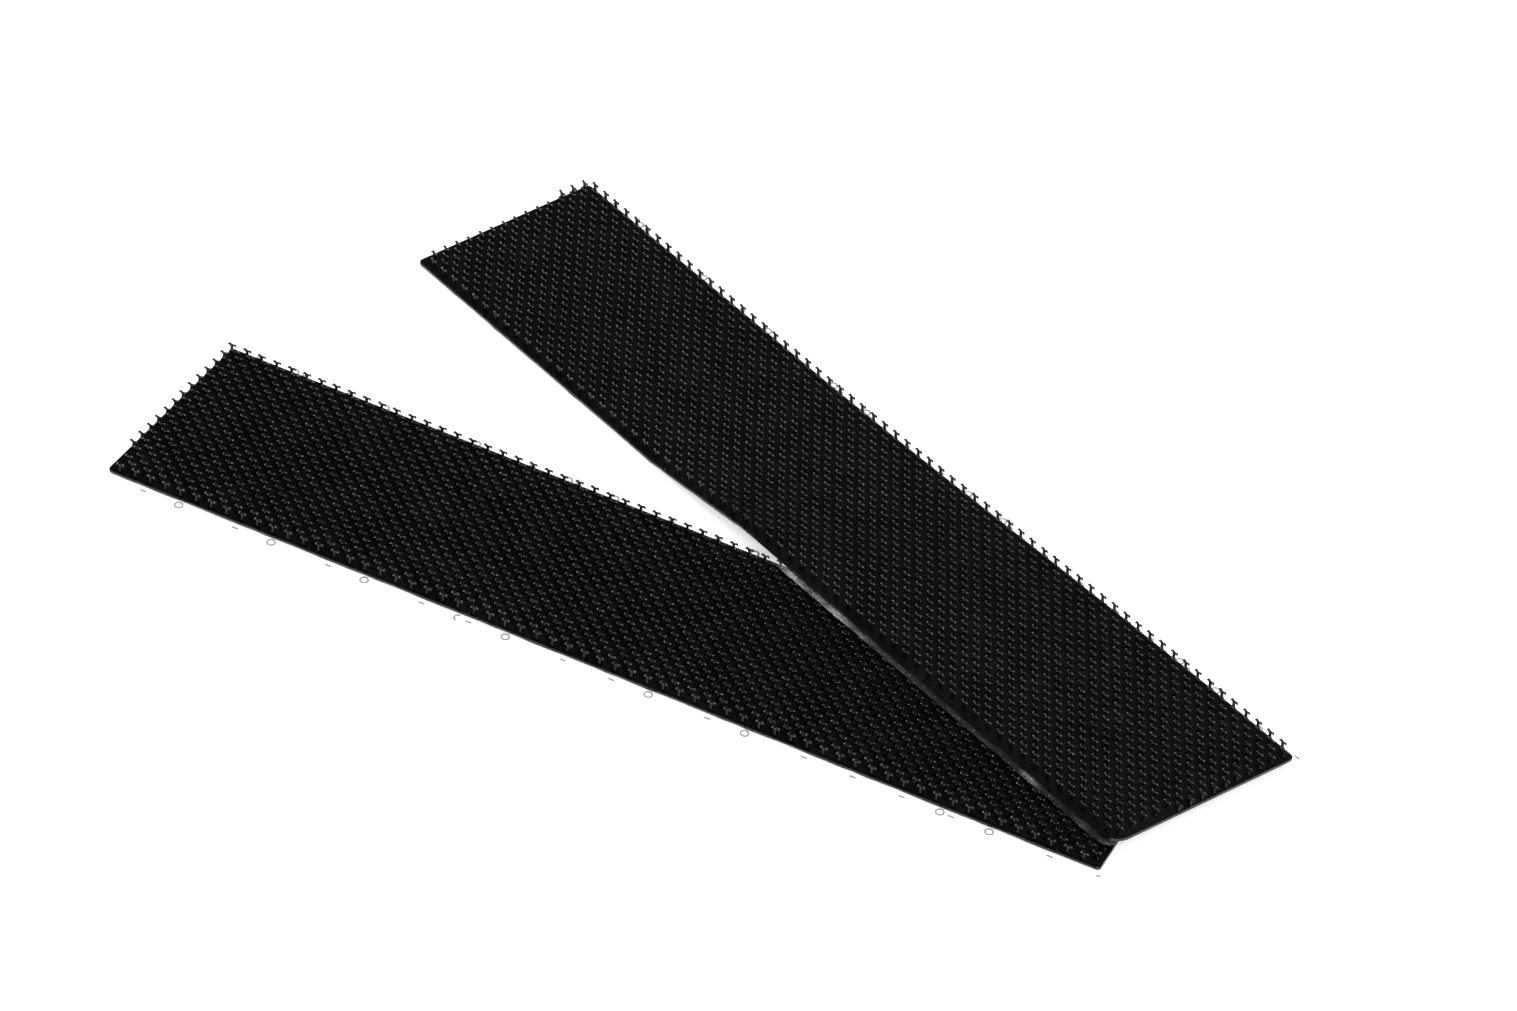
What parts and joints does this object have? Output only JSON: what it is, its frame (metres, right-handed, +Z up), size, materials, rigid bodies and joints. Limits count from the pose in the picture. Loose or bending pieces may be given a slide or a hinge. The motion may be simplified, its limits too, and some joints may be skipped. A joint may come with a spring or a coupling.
{
  "type": "hook fastener strips",
  "caption": "Self-adhesive strips of black moulded hook tape on clear release liners, laid across each other. The hooks grip a loop tape or pile carpet.",
  "frame": {"origin": "middle of the pair's bounding box, on the table that both strips lie on", "axes": "+X along the lower strip, towards the end where the strips cross; +Y across it, towards the side where the upper strip starts; +Z up, the way the hooks point"},
  "size_m": [0.0996, 0.0578, 0.0024],
  "materials": {
    "hook_plastic": "black moulded plastic with a soft gloss",
    "adhesive": "cloudy tacky adhesive",
    "liner_film": "thin clear film, slightly milky"
  },
  "bodies": {
    "lower_liner": {"lower_release_liner": "liner_film"},
    "lower_tape": {"lower_adhesive_layer": "adhesive", "lower_hook_tape": "hook_plastic"},
    "upper_liner": {"upper_release_liner": "liner_film"},
    "upper_tape": {"upper_adhesive_layer": "adhesive", "upper_hook_tape": "hook_plastic"}
  },
  "joints": [
    {"name": "lower_tape_lift", "type": "slide", "parent": "lower_liner", "child": "lower_tape", "axis": [0, 0, 1], "range_m": [0, 0.015]},
    {"name": "upper_strip_lift", "type": "slide", "parent": "lower_tape", "child": "upper_liner", "axis": [0, 0, 1], "range_m": [0, 0.015]},
    {"name": "upper_tape_lift", "type": "slide", "parent": "upper_liner", "child": "upper_tape", "axis": [0, 0, 1], "range_m": [0, 0.015]}
  ]
}
